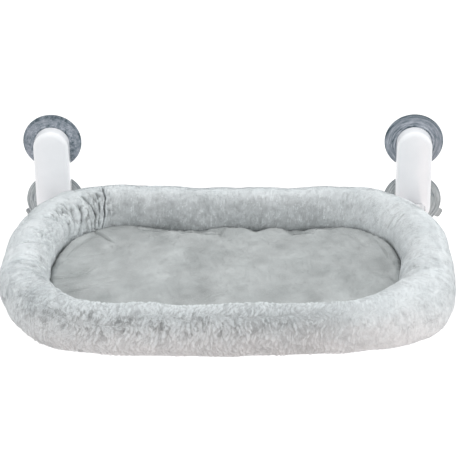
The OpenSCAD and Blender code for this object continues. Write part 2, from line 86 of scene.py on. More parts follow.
# The middle line of the stuffed ring strays a little from a true rounded rectangle, and its thickness
# varies. Both are given as waves round the ring: the mean, then cosine and sine of 1 to 6 turns.
LINE_WAVES = [-2.9, -3.7, -1.1, 1.5, 0.0, 0.4, 0.7, 0.6, -1.0, -0.8, -0.2, -0.4, -0.3]
FATNESS_WAVES = [0.0, 0.8, -0.1, 0.8, -0.9, -0.1, -0.7, -0.9, 0.2, -0.4, -0.2, -0.5, 0.5]

# Shorter bulges on top of the waves: share, half width, then how far the line and the radius go out there.
RING_BUMPS = [
    (0.985, 0.025, 2.5, 0.0), (0.940, 0.018, -2.6, -0.5), (0.900, 0.022, 3.6, 1.7), (0.835, 0.028, -3.5, -2.2),
    (0.615, 0.022, -2.0, -1.3), (0.570, 0.015, 1.5, 0.3), (0.540, 0.015, -1.5, -0.5), (0.475, 0.020, 2.3, 0.0),
    (0.425, 0.018, -2.5, 0.0), (0.368, 0.026, 2.0, 2.6), (0.230, 0.070, -1.4, -1.0),
]


def waves_round(share, waves):
    total = np.full(np.shape(share), waves[0], float)
    for k, (a, b) in enumerate(zip(waves[1::2], waves[2::2]), 1):
        total += a * np.cos(TAU * k * share) + b * np.sin(TAU * k * share)
    return total


def bumps_round(share, column):
    total = np.zeros(np.shape(share))
    for bump in RING_BUMPS:
        total += bump[column] * np.exp(-(((share - bump[0] + 0.5) % 1.0 - 0.5) / bump[1]) ** 2)
    return total


def path_table(steps=4000):
    """Points and outward normals of the rounded rectangle at even shares of its length.

    Share 0 is the start of the back right corner, and shares grow anticlockwise seen from above."""
    inner = np.array([HALF_W - CORNER_R, HALF_D - CORNER_R])
    corner = CORNER_R * math.pi / 2
    ends = np.cumsum([corner, 2 * inner[0], corner, 2 * inner[1]] * 2)
    at = np.arange(steps) / steps * ends[-1]
    run = np.searchsorted(ends, at, side="right")
    along = at - np.append(0, ends)[run]
    turn = math.pi / 2 * (run // 2 + np.where(run % 2, 1, along / corner))
    normals = np.column_stack([np.cos(turn), np.sin(turn)])
    centres = inner * np.array([(1, 1), (-1, 1), (-1, -1), (1, -1)])[run // 2]
    straight = (run % 2 * along)[:, None] * np.column_stack([-normals[:, 1], normals[:, 0]])
    return centres + CORNER_R * normals + straight, normals, ends[-1]


PATH, PATH_NORMALS, PATH_LENGTH = path_table()


def path_at(share):
    """Middle line of the ring in X and Y, its outward normal and the ring's radius there."""
    share = np.asarray(share) % 1.0
    grid = np.arange(len(PATH) + 1) / len(PATH)
    p, n = (np.stack([np.interp(share, grid, np.append(k, k[0])) for k in table.T], -1)
            for table in (PATH, PATH_NORMALS))
    n /= np.linalg.norm(n, axis=-1, keepdims=True)
    p = p + n * (waves_round(share, LINE_WAVES) + bumps_round(share, 2))[..., None]
    return p + [0, BED_Y], n, RING_R + waves_round(share, FATNESS_WAVES) + bumps_round(share, 3)


def swirl(points, size, seed, count=20):
    """Smooth noise from -1 to 1 at points, with features about size across, as a sum of plane waves."""
    rng = np.random.default_rng(seed)
    total = np.zeros(points.shape[:-1])
    for _ in range(count):
        way = rng.normal(size=3)
        way *= TAU / (size * rng.uniform(0.75, 1.5)) / np.linalg.norm(way)
        total += np.sin(points @ way + rng.uniform(0, TAU))
    return total / math.sqrt(count) * 0.9


def ease(x, low, high):
    """Rises smoothly from 0 at low to 1 at high."""
    t = np.clip((x - low) / (high - low), 0, 1)
    return t * t * (3 - 2 * t)


def window(x, low, full, fade, end):
    """Rises from 0 at low to 1 at full, and falls again from fade to end."""
    return ease(x, low, full) * (1 - ease(x, fade, end))


def unit(vectors):
    return vectors / np.maximum(np.linalg.norm(vectors, axis=-1, keepdims=True), 1e-9)


def steps_along(points, closed):
    """Unit directions along the first axis of an array of points."""
    return unit(np.roll(points, -1, 0) - np.roll(points, 1, 0) if closed else np.gradient(points, axis=0))


def at_height(flat, z):
    return np.column_stack([flat, np.full(len(flat), z)])


def run_length(line):
    """Length along a line up to each of its points."""
    return np.append(0, np.cumsum(np.linalg.norm(np.diff(line, axis=0), axis=1)))


# Mesh helpers

def outward(points, faces):
    """The faces of a closed form, turned over if they look inwards."""
    volume = 0.0
    for part in faces:
        corners = points[part]
        for k in range(1, part.shape[1] - 1):
            volume += (corners[:, 0] * np.cross(corners[:, k], corners[:, k + 1])).sum()
    return faces if volume > 0 else [part[:, ::-1] for part in faces]


def placed(name, data):
    """A new object in the scene."""
    made = bpy.data.objects.new(name, data)
    bpy.context.scene.collection.objects.link(made)
    return made


def mesh_piece(name, points, faces, material, normals=None, uv=None, tip=None):
    """New smooth object from points in millimetres. faces is a list of index arrays, each of one face size, and
    normals and uv are lists like it for the corners. tip is a number for each point that plush colours read, with
    painted light and shade in it as well as random tone."""
    corners = np.concatenate([np.ravel(part) for part in faces])
    sizes = np.concatenate([np.full(len(part), np.shape(part)[1]) for part in faces])
    mesh = bpy.data.meshes.new(name)
    mesh.vertices.add(len(points))
    mesh.vertices.foreach_set("co", (np.asarray(points, float) * MM).astype(np.float32).ravel())
    mesh.loops.add(len(corners))
    mesh.loops.foreach_set("vertex_index", corners.astype(np.int32))
    mesh.polygons.add(len(sizes))
    mesh.polygons.foreach_set("loop_start", (np.cumsum(sizes) - sizes).astype(np.int32))
    mesh.update(calc_edges=True)
    mesh.polygons.foreach_set("use_smooth", np.ones(len(sizes), bool))
    if uv is not None:
        layer = mesh.uv_layers.new(name="OFBake")
        layer.data.foreach_set("uv", np.concatenate([np.reshape(part, -1) for part in uv]).astype(np.float32))
    if tip is not None:
        mesh.attributes.new("tip", "FLOAT", "POINT").data.foreach_set("value", tip.astype(np.float32))
    if normals is not None:
        mesh.normals_split_custom_set(np.concatenate([np.reshape(part, (-1, 3)) for part in normals]).tolist())
    mesh.materials.append(material)
    mesh.validate()
    piece = placed(name, mesh)
    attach(piece, PERCH)
    return piece


def grid_faces(rows, columns, close_rows=False, close_columns=True):
    """Quads of a grid of points, closed round in either way."""
    i = np.arange(rows if close_rows else rows - 1)[:, None]
    j = np.arange(columns if close_columns else columns - 1)[None]
    here, beyond = i * columns, (i + 1) % rows * columns
    after = (j + 1) % columns
    return np.stack([here + j, beyond + j, beyond + after, here + after], -1).reshape(-1, 4)


def capped(rings, first, last):
    """Points and faces of rows of rings, closed at either end by a fan from a middle point."""
    count, across = rings.shape[:2]
    points = np.vstack([rings.reshape(-1, 3), [first, last]])
    middle, start = np.full(across, count * across), (count - 1) * across
    i = np.arange(across)
    j = (i + 1) % across
    fans = [np.stack([middle, i, j], -1), np.stack([middle + 1, start + j, start + i], -1)]
    return points, outward(points, [grid_faces(count, across), *fans])


def closed_sheet(upper, lower):
    """Points and faces of a sheet between two grids of points, with walls along their edges."""
    rows, columns = upper.shape[:2]
    top = grid_faces(rows, columns, close_columns=False)
    index = np.arange(rows * columns).reshape(rows, columns)
    edge = np.concatenate([index[0, :-1], index[:-1, -1], index[-1, :0:-1], index[:0:-1, 0]])
    after = np.roll(edge, -1)
    wall = np.stack([edge, edge + index.size, after + index.size, after], -1)
    return np.vstack([upper.reshape(-1, 3), lower.reshape(-1, 3)]), [top[:, ::-1], top + index.size, wall]


def tube_along(points, radius, sides=10, closed=True):
    """Points and faces of a round cord along a line. The radius may differ from point to point."""
    way = steps_along(points, closed)
    side = unit(np.cross(way, [0, 0, 1.0]))
    turn = TAU * np.arange(sides) / sides
    ring = np.cos(turn)[:, None] * side[:, None] + np.sin(turn)[:, None] * np.cross(side, way)[:, None]
    rings = points[:, None] + np.broadcast_to(radius, ring.shape[:2])[..., None] * ring
    return rings.reshape(-1, 3), grid_faces(len(points), sides, close_rows=closed)


def joined(name, parts, material):
    """One object from several (points, faces) pairs."""
    faces, start = [], 0
    for p, f in parts:
        faces += [np.asarray(x) + start for x in outward(p, f)]
        start += len(p)
    return mesh_piece(name, np.vstack([p for p, _ in parts]), faces, material)


def ring_grid_uv(rows, columns, strips=4):
    """Corners of a closed grid on the baked picture, in strips laid one above the other."""
    i, j = np.meshgrid(np.arange(rows), np.arange(columns), indexing="ij")
    strip = i * strips // rows
    u = np.stack([i, i + 1, i + 1, i], -1) * strips / rows - strip[..., None]
    v = np.stack([j, j, j + 1, j + 1], -1) / columns
    uv = np.stack([0.01 + 0.98 * u, (strip[..., None] + 0.02 + 0.96 * v) / strips], -1)
    return uv.reshape(-1, 4, 2)


# Materials

class Tree:
    """Short ways to add nodes to a tree of them."""

    def __init__(self, tree):
        self.nodes, self.links = tree.nodes, tree.links

    def node(self, kind, inputs=(), **settings):
        made = self.nodes.new(kind)
        for key, value in settings.items():
            setattr(made, key, value)
        for key, value in dict(inputs).items():
            if isinstance(value, bpy.types.NodeSocket):
                self.links.new(value, made.inputs[key])
            else:
                made.inputs[key].default_value = value
        return made

    def math(self, operation, a, b):
        return self.node("ShaderNodeMath", {0: a, 1: b}, operation=operation).outputs[0]

    def remap(self, value, low, high, start, end):
        """Turns the range from low to high into the one from start to end."""
        ends = {"Value": value, "From Min": low, "From Max": high, "To Min": start, "To Max": end}
        return self.node("ShaderNodeMapRange", ends).outputs[0]

    def seen(self):
        """1 on rays of the camera and those that gloss and glass send on, and 0 on all others."""
        ray = self.node("ShaderNodeLightPath").outputs
        direct = self.math("MAXIMUM", ray["Is Camera Ray"], ray["Is Glossy Ray"])
        return self.math("MAXIMUM", direct, ray["Is Transmission Ray"])


class Paint(Tree):
    """A material whose one Principled shader is fed by procedural nodes in the frame's own coordinates."""

    def __init__(self, name, roughness, specular=0.5, metallic=0.0):
        self.material = bpy.data.materials.new(name)
        self.material.use_nodes = True
        super().__init__(self.material.node_tree)
        self.shader = self.nodes["Principled BSDF"]
        self.place = self.node("ShaderNodeTexCoord").outputs["Object"]
        self.set(Roughness=roughness, Metallic=metallic, Specular_IOR_Level=specular)
        self.height = None

    def set(self, **values):
        for key, value in values.items():
            self.shader.inputs[key.replace("_", " ")].default_value = value

    def feed(self, socket, output):
        self.links.new(output, self.shader.inputs[socket])

    def noise(self, size_mm, detail, rough=0.55, place=None):
        return self.node("ShaderNodeTexNoise", {"Vector": place or self.place, "Scale": 1 / (size_mm * MM),
                                                "Detail": detail, "Roughness": rough}).outputs["Fac"]

    def ramp(self, value, stops):
        made = self.node("ShaderNodeValToRGB", {"Fac": value})
        elements = made.color_ramp.elements
        while len(elements) < len(stops):
            elements.new(0.5)
        for element, (at, colour) in zip(elements, stops):
            element.position = at
            element.color = (*np.broadcast_to(colour, 3), 1)
        return made.outputs["Color"]

    def colours(self, value, stops):
        self.feed("Base Color", self.ramp(value, stops))

    def rough(self, value, low, high):
        self.feed("Roughness", self.remap(value, 0, 1, low, high))

    def bump(self, value, depth_mm):
        inputs = {"Height": value, "Distance": depth_mm * MM}
        if self.height is not None:
            inputs["Normal"] = self.height
        self.height = self.node("ShaderNodeBump", inputs).outputs[0]
        self.feed("Normal", self.height)


def plush(name, dark, light, sheen, patch_mm=30, root=None, bump_mm=None):
    """Brushed fabric. On its pile, root is how much of the colour is left at the roots of the tufts, as painted
    shade deep in the pile; the tufts' tip numbers carry painted light and shade and scale the colour by up to 1.1.
    """
    m = Paint(name, 0.92, specular=0.12)
    cloth = m.ramp(m.noise(patch_mm, 5, 0.6), [(0.32, dark), (0.64, light)])
    if root is not None:
        tip = m.node("ShaderNodeAttribute", attribute_name="tip").outputs["Fac"]
        # Painted shade towards the roots of the tufts, and painted light up to 1.1 towards their tips
        depth = m.ramp(tip, [(0.0, root), (0.4, 0.45 + 0.55 * root), (0.75, 0.97), (1.0, 1.1)])
        cloth = m.node("ShaderNodeMix", {6: cloth, 7: depth, "Factor": 1.0}, data_type="RGBA",
                       blend_type="MULTIPLY").outputs[2]
    m.feed("Base Color", cloth)
    m.rough(m.noise(9, 4), 0.874, 0.9752)
    m.set(Sheen_Weight=sheen, Sheen_Roughness=0.4, Sheen_Tint=(0.93, 0.96, 1.0, 1))
    if bump_mm:
        m.bump(m.noise(1.2, 3, 0.7), bump_mm)
    return m.material


def woven(name, dark, light, pitch_mm):
    """Plain weave: two crossed sets of threads that pass over and under each other."""
    m = Paint(name, 0.9, specular=0.2)
    threads = {"Vector": m.place, "Scale": 1 / (pitch_mm * MM) / 3.2, "Distortion": 1.2, "Detail": 2.0,
               "Detail Scale": 2.0}
    weave = m.math("MULTIPLY", *(m.node("ShaderNodeTexWave", threads, bands_direction=axis).outputs["Fac"]
                                 for axis in "XY"))
    m.colours(m.noise(25, 6, 0.7), [(0.3, dark), (0.7, light)])
    m.bump(m.noise(6, 4), 0.25)
    m.bump(weave, 0.18)
    m.set(Sheen_Weight=0.15, Sheen_Roughness=0.5)
    return m.material


def moulded(name, dark, light, roughness, grain_mm=0.5, grain_depth=0.03, coat=0.0):
    m = Paint(name, roughness)
    m.colours(m.noise(30, 4), [(0.35, dark), (0.65, light)])
    m.rough(m.noise(8, 5), roughness * 0.85, roughness * 1.2)
    m.bump(m.noise(grain_mm, 2), grain_depth)
    m.set(Coat_Weight=coat, Coat_Roughness=0.05)
    return m.material


def steel(name, dark, light, roughness):
    m = Paint(name, roughness, metallic=1.0)
    m.colours(m.noise(3, 5, 0.7), [(0.3, dark), (0.7, light)])
    drawn_out = m.node("ShaderNodeMapping", {"Vector": m.place, "Scale": (1, 1, 4)}).outputs[0]
    m.rough(m.noise(2, 5, 0.7, drawn_out), roughness * 0.7, roughness * 1.4)
    m.bump(m.noise(0.4, 3), 0.01)
    return m.material


def cup_rubber(node, tones, across_mm, along, blotch, calmer):
    """Marbled rubber: streaks that run round the cup's own middle, and blotches over them.

    The pattern grows calmer towards the cup's rim and its middle."""
    low, high = node_box(node)
    whole = (high[0] - low[0]) / 2 * MM
    m = Paint(f"marbled_rubber_{node}", 0.38)
    away = m.node("ShaderNodeVectorMath", {0: m.place, 1: (low + high) / 2 * MM}, operation="SUBTRACT").outputs[0]
    x, _, z = m.node("ShaderNodeSeparateXYZ", {0: away}).outputs
    flat = m.node("ShaderNodeCombineXYZ", {0: x, 1: z}).outputs[0]
    radius = m.node("ShaderNodeVectorMath", {0: flat}, operation="LENGTH").outputs["Value"]
    wound = m.node("ShaderNodeCombineXYZ", {0: m.math("MULTIPLY", radius, 1 / (across_mm * MM)),
                                            1: m.math("MULTIPLY", m.math("ARCTAN2", z, x), along)}).outputs[0]
    streak = m.noise(1 / MM, 4, 0.65, wound)
    fleck = m.noise(6.0, 6, 0.75)
    mixed = m.math("ADD", m.math("MULTIPLY", streak, 1 - blotch), m.math("MULTIPLY", fleck, blotch))
    calm = m.math("MAXIMUM", m.remap(radius, 0.72 * whole, 0.92 * whole, 0.0, calmer),
                  m.remap(radius, 0.3 * whole, 0.6 * whole, 0.7, 0.0))
    even = m.math("ADD", m.math("MULTIPLY", m.math("SUBTRACT", 0.535, mixed), calm), mixed)
    rim = m.remap(radius, 0.95 * whole, 0.975 * whole, 0.0, 0.07)
    m.colours(m.math("SUBTRACT", even, rim), list(zip((0.40, 0.47, 0.53, 0.60), tones)))
    m.rough(m.noise(5, 4), 0.28, 0.5)
    m.bump(streak, 0.15)
    m.bump(fleck, 0.12)
    return m.material


PLUSH_DARK, PLUSH_LIGHT = (0.755, 0.80, 0.815), (0.84, 0.88, 0.893)
RING_BACKING = plush("plush_backing", PLUSH_DARK, PLUSH_LIGHT, 0.15, 40, 0.30, 0.4)
RING_PILE = plush("plush_pile", PLUSH_DARK, PLUSH_LIGHT, 0.3, 40, 0.30)
PIPING = plush("piping_cloth", (0.55, 0.57, 0.58), (0.64, 0.66, 0.67), 0.15, bump_mm=0.4)
# The pad's plush is a greener grey than the ring's, and is painted darker still as shade inside the nest
PAD_BACKING = plush("pad_backing", (0.50, 0.53, 0.53), (0.60, 0.63, 0.63), 0.1, 50, 0.40, 0.4)
PAD_PILE = plush("pad_pile", (0.57, 0.605, 0.605), (0.69, 0.72, 0.72), 0.2, 50, 0.45)
PANEL_CLOTH = woven("panel_weave", (0.55, 0.56, 0.58), (0.66, 0.67, 0.69), 0.9)
SLING_CLOTH = woven("sling_weave", (0.46, 0.47, 0.50), (0.57, 0.58, 0.61), 1.3)
HOOK_TAPE = woven("hook_tape_weave", (0.22, 0.23, 0.25), (0.32, 0.33, 0.35), 1.0)
LOOP_TAPE = woven("loop_tape_fuzz", (0.33, 0.34, 0.36), (0.44, 0.45, 0.47), 0.8)
THREAD = woven("sewing_thread", (0.62, 0.63, 0.65), (0.78, 0.79, 0.80), 0.4)
COVER_GLOSS = moulded("cover_gloss", (0.89, 0.905, 0.93), (0.92, 0.935, 0.96), 0.2, 2.5, 0.004, 0.2)
BRACKET_PLASTIC = moulded("bracket_satin", (0.72, 0.72, 0.735), (0.78, 0.78, 0.795), 0.42)
PLUG_PLASTIC = moulded("plug_satin", (0.22, 0.22, 0.23), (0.30, 0.30, 0.31), 0.5)
PLATED = steel("plated_steel_finish", (0.50, 0.50, 0.51), (0.66, 0.66, 0.67), 0.28)
SPRING = steel("spring_steel_finish", (0.28, 0.28, 0.30), (0.42, 0.42, 0.43), 0.34)
TUBE_PAINT = moulded("tube_powder_coat", (0.76, 0.76, 0.775), (0.81, 0.81, 0.825), 0.36, 0.6, 0.035)

# Tones of the cups' rubber from dark to light, one rubber painted darker on the upper cups as shade and lighter
# on the lower ones as light, then for each cup: the streaks' width in millimetres and their number round it, the
# share of blotches, and how far the pattern calms down at the rim.
UPPER_SHADED_TONES = ((0.05, 0.08, 0.10), (0.19, 0.23, 0.27), (0.29, 0.32, 0.37), (0.47, 0.51, 0.57))
LOWER_LIT_TONES = ((0.20, 0.23, 0.25), (0.34, 0.38, 0.39), (0.40, 0.44, 0.45), (0.48, 0.52, 0.54))
CUP_FINISH = {
    "suction_cup_upper_left": (UPPER_SHADED_TONES, 2.6, 7, 0.75, 0.4),
    "suction_cup_upper_right": (UPPER_SHADED_TONES, 2.4, 1.4, 0.15, 0.5),
    "suction_cup_lower_left": (LOWER_LIT_TONES, 2.0, 0.9, 0.1, 0.1),
    "suction_cup_lower_right": (LOWER_LIT_TONES, 2.0, 0.9, 0.1, 0.1),
}
BY_SLOT = {
    "cover_plastic": COVER_GLOSS, "bracket_plastic": BRACKET_PLASTIC,
    "plated_steel": PLATED, "spring_steel": SPRING, "tube_paint": TUBE_PAINT, "plug_plastic": PLUG_PLASTIC,
}
for part in frame["record"]["subparts"]:
    finish = BY_SLOT.get(part["material_slot"])
    if part["node"] in CUP_FINISH:
        finish = cup_rubber(part["node"], *CUP_FINISH[part["node"]])
    if finish:
        for slot in frame["nodes"][part["node"]].material_slots:
            slot.material = finish


# The plush ring

# Folds: depth and half width in millimetres, then degrees round the section (90 is the top, 180 the inside), each
# with the share of the ring's length there in ten thousandths. The deep ones gather at the back left corner.
FOLDS = [
    (6.0, 1.1, 84, 3415, 107, 3431, 126, 3436, 144, 3469, 160, 3480, 178, 3519, 200, 3560),
    (0.6, 1.6, 95, 3345, 107, 3369, 141, 3394, 169, 3425),
    (3.2, 2.6, 100, 3490, 130, 3512, 160, 3545, 195, 3600),
    (3.4, 2.8, 100, 3660, 123, 3638, 134, 3619, 160, 3600, 190, 3640),
    (1.8, 2.0, 112, 3565, 135, 3570, 165, 3590),
    (3.4, 3.4, 118, 3755, 149, 3769, 169, 3819, 185, 3870),
    (2.0, 3.0, 120, 3860, 150, 3890, 172, 3935),
    (2.2, 3.0, 128, 3990, 150, 4000, 175, 4020),
    (3.2, 2.8, 98, 4185, 111, 4169, 131, 4131, 144, 4106, 162, 4125, 180, 4150),
    (1.4, 2.6, 110, 4275, 130, 4265, 160, 4240),
    (2.0, 2.4, 88, 4431, 114, 4431, 144, 4387, 165, 4369),
    (1.2, 2.2, 100, 4545, 150, 4490),
    (1.8, 2.4, 80, 4685, 113, 4656, 144, 4575, 165, 4550),
    (1.3, 2.2, 96, 4790, 130, 4750, 158, 4700),
    (1.5, 2.2, 90, 4890, 125, 4885, 160, 4850),
    (2.2, 2.2, 72, 4994, 111, 5012, 131, 5012, 150, 5038),
    (1.4, 2.0, 84, 5080, 120, 5095, 150, 5120),
    (1.8, 2.2, 80, 5180, 118, 5190, 150, 5230),
    (2.0, 2.2, 88, 5275, 105, 5319, 125, 5306, 150, 5340),
    (1.2, 2.4, 110, 5420, 150, 5440),
    (1.6, 1.8, 108, 385, 128, 368, 148, 345),
    (0.9, 2.6, 120, 470, 150, 450),
    (0.8, 3.2, 128, 640, 168, 590),
    (1.6, 3.0, 140, 5800, 185, 5790),
    (1.4, 3.0, 145, 6050, 185, 6040),
    (1.6, 3.0, 140, 8550, 185, 8570),
    (1.6, 3.0, 145, 8900, 185, 8910),
]
SEAM_AT = -58.0
FLOOR_Z = RING_LOW[2] + 0.2


def on_front(share):
    """1 along the front arm of the ring and 0 along the others, where the pile is shorter."""
    return window(share, 0.475, 0.585, 0.78, 0.89)


def low_front(share, degrees):
    """1 on the lower side of the front arm."""
    return on_front(share) * (1 - ease(degrees, -25, 12))


def fold_relief(share, degrees):
    """How far folds and wrinkles push the cover in, in millimetres, at places on the ring."""
    push = np.zeros(share.shape)
    for depth, width, *line in FOLDS:
        turns, shares = line[::2], np.array(line[1::2]) / 10000
        centre = np.interp(degrees, turns, shares)
        reach = window(degrees, turns[0] - 10, turns[0] + 14, turns[-1] - 6, turns[-1] + 14)
        away = ((share - centre + 0.5) % 1.0 - 0.5) * PATH_LENGTH
        near = np.abs(away) < 8 * width
        valley = np.exp(-np.abs(away[near] / width) ** 1.5)
        lips = np.exp(-((np.abs(away[near]) - 2.6 * width) / (1.3 * width)) ** 2)
        push[near] += reach[near] * depth * (valley - 0.32 * lips)
    return 1.2 * push


def ring_surface(share, degrees):
    """Points of the ring's cover without its pile, and how deep each lies in a crease, below 0 on a ridge."""
    line, out, radius = path_at(share)
    angle, around = np.radians(degrees), share * PATH_LENGTH
    core = radius - COVER_IN - 1.3 * on_front(share)
    core += (radius + 1.6 - core) * np.clip(-np.sin(angle), 0, 1) ** 2
    flat = np.dstack([line, np.full(share.shape, RING_Z)])
    normal = np.dstack([out * np.cos(angle)[..., None], np.sin(angle)])
    rough = flat + core[..., None] * normal
    lumps = 1.1 * swirl(rough, 70, SEED) + 0.4 * swirl(rough, 24, SEED + 1)
    inner, bunched = window(degrees, 75, 130, 205, 230), window(share, 0.30, 0.37, 0.44, 0.56)
    patches = np.clip(swirl(rough, 55, SEED + 3), 0, 1)
    gathers = np.sin(around / 9.0 * TAU + 2.2 * swirl(rough, 40, SEED + 2)) * patches * (0.5 + 0.6 * bunched)
    spread = np.dstack([around, angle * RING_R * 0.42, np.zeros(share.shape)])
    spread += 2.5 * swirl(rough, 18, SEED + 6)[..., None]
    crease = np.clip(1 - 1.5 * np.abs(swirl(spread, 15, SEED + 4)), 0, 1) ** 2
    small = np.clip(1 - 1.5 * np.abs(swirl(rough, 11, SEED + 5)), 0, 1) ** 2
    gathers -= (2.5 * crease + 2.3 * small - 1.3) * bunched * (0.35 + 0.65 * patches)
    seam = np.exp(-((degrees - SEAM_AT) / 3.0) ** 2)
    puckers = np.exp(-((degrees - SEAM_AT) / 14) ** 2) * np.sin(around / 7.0 * TAU) * 0.45
    swell = lumps + gathers * inner + puckers - 1.6 * seam - fold_relief(share, degrees)
    points = flat + (core + swell)[..., None] * normal
    points[..., 2] = np.maximum(points[..., 2], FLOOR_Z)
    level = swell
    for _ in range(12):
        level = (level + np.roll(level, 1, 0) + np.roll(level, -1, 0)
                 + 0.3 * (np.roll(level, 1, 1) + np.roll(level, -1, 1))) / 3.6
    return points, level - swell


def share_steps(count):
    """Shares round the ring, closer together where it has its folds."""
    fine = np.linspace(0, 1, 4001)
    weight = 1 + 1.9 * window(fine, 0.315, 0.335, 0.43, 0.45) + 1.0 * window(fine, 0.43, 0.45, 0.54, 0.56)
    total = np.append(0, np.cumsum((weight[1:] + weight[:-1]) / 2))
    return np.interp(np.arange(count) / count, total / total[-1], fine)


RING_ROWS, RING_COLUMNS = 760, 128
ring_shares = share_steps(RING_ROWS)
ring_degrees = np.arange(RING_COLUMNS) / RING_COLUMNS * 360 - 90 + 180 / RING_COLUMNS
SHARE, DEGREES = np.meshgrid(ring_shares, ring_degrees, indexing="ij")
RING_POINTS, RING_CREASE = ring_surface(SHARE, DEGREES)

# Patches where the short pile parts and painted shade darkens the partings in streaks: share, degrees, half their
# reach in each, strength
PARTING_SHADE = [
    (0.372, 148, 0.008, 34, 1.0), (0.395, 142, 0.011, 30, 0.85), (0.408, 116, 0.011, 15, 0.75),
    (0.356, 130, 0.007, 38, 0.6), (0.345, 110, 0.006, 30, 0.4), (0.495, 130, 0.022, 22, 0.5),
    (0.928, 113, 0.011, 15, 0.45), (0.430, 140, 0.010, 25, 0.35),
]


def ring_tone(points, share, degrees, level):
    """How light the plush is at places on the ring, painted light and painted shade included, how far each lies in
    a crease, how far it belongs to the middle of the front arm, painted darker as shade, and 1 on the outer sides
    of the other arms, painted lighter."""
    front = on_front(share)
    middle = front * window(degrees, 2, 30, 54, 78) * (0.35 + 0.65 * window(share, 0.55, 0.62, 0.68, 0.82))
    outer = (1 - front) * (1 - ease(degrees, 82, 118))
    crease, ridge_painted_highlight = ease(level, 0.2, 1.2), ease(-level, 0.1, 0.9)
    bunched = window(share, 0.325, 0.350, 0.38, 0.42) * ease(degrees, 88, 120)
    streaks = np.column_stack([share * PATH_LENGTH + 2.5 * swirl(points, 22, SEED + 16),
                               0.4 * np.radians(degrees) * RING_R, np.zeros(len(share))])
    lines = ease(1 - 2.0 * np.abs(swirl(streaks, 10, SEED + 18)), 0.1, 0.6)
    reach = np.zeros(len(share))
    for at, turn, half_share, half_turn, strength in PARTING_SHADE:
        away = ((share - at) / half_share) ** 2 + ((degrees - turn) / half_turn) ** 2
        reach = np.maximum(reach, strength * np.exp(-away ** 1.5))
    back_inner_painted_shade = window(share, 0.06, 0.16, 0.335, 0.352) * ease(degrees, 95, 145)
    left_inner_painted_light = window(share, 0.365, 0.40, 0.50, 0.55) * ease(degrees, 85, 115)
    front_left = window(share, 0.46, 0.50, 0.56, 0.61)
    back_edge_painted_light = np.exp(-((degrees - 58) / 16) ** 2) * window(share, 0.04, 0.08, 0.38, 0.44)
    # Painted light and shade: the front arm is painted lighter, and darker again towards its right end; its middle
    # is painted darker as shade and the outer sides lighter
    light = 0.83 + 0.21 * front - 0.20 * front * ease(share, 0.62, 0.80) - 0.03 * middle + 0.03 * outer
    # Painted light on the back crest, the inner side of the left arm and the front left corner; painted shade on
    # the inner side of the back arm
    light += 0.13 * back_edge_painted_light + 0.17 * left_inner_painted_light + 0.06 * front_left - 0.32 * back_inner_painted_shade
    # Painted shade on the lower side of the front arm, on the bunched corner and in the pile's partings
    light -= 0.09 * low_front(share, degrees) + 0.04 * bunched + 0.65 * reach * lines
    # Painted highlight on the ridges and painted shade in the creases
    light += (0.10 + 0.10 * bunched) * ridge_painted_highlight - (0.30 + 0.2 * bunched - 0.1 * left_inner_painted_light) * crease
    light += 0.04 * swirl(points, 32, SEED + 8) + (0.05 + 0.07 * bunched) * swirl(points, 9, SEED + 9)
    return light, crease, middle, outer


cover_points = RING_POINTS.reshape(-1, 3)
cover_light, _, _, cover_outer = ring_tone(cover_points, SHARE.ravel(), DEGREES.ravel(), RING_CREASE.ravel())
# The cover under the pile takes the ring's painted light and shade: lighter on the outer sides, and darker as
# painted shade under the front's long pile
ring = mesh_piece("ring_cover", cover_points, [grid_faces(RING_ROWS, RING_COLUMNS, close_rows=True)],
                  RING_BACKING, uv=[ring_grid_uv(RING_ROWS, RING_COLUMNS)],
                  tip=((0.85 + 0.15 * cover_outer) * cover_light - 0.28 * on_front(SHARE.ravel())).clip(0, 1))
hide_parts("plush_ring")


# Pile: short tapered tufts, each a closed three sided spike that lies along the nap

def surface_frame(points, closed=True):
    """Unit normal, and unit directions along the rows and columns, at every point of a grid."""
    along, around = steps_along(points, closed), unit(np.roll(points, -1, 1) - np.roll(points, 1, 1))
    return unit(np.cross(along, around)), along, around


def blend_cells(values, row, column, u, v):
    """Values of a closed grid inside its cells, at shares u and v of the way across each."""
    rows, columns = values.shape[:2]
    r2, c2 = (row + 1) % rows, (column + 1) % columns
    if values.ndim == 3:
        u, v = u[:, None], v[:, None]
    top = values[row, column] * (1 - v) + values[row, c2] * v
    low = values[r2, column] * (1 - v) + values[r2, c2] * v
    return top * (1 - u) + low * u


def scatter(points, weight, count, rng):
    """Random places on a grid surface, as cells and shares in them, in proportion to area times weight."""
    across = np.roll(points, -1, 1) - points
    onward = np.roll(points, -1, 0) - points
    area = np.linalg.norm(np.cross(across, onward), axis=-1) * weight
    total = np.cumsum(area.ravel())
    cell = np.searchsorted(total, rng.uniform(0, total[-1], count)).clip(0, area.size - 1)
    return *np.divmod(cell, points.shape[1]), rng.uniform(size=count), rng.uniform(size=count)


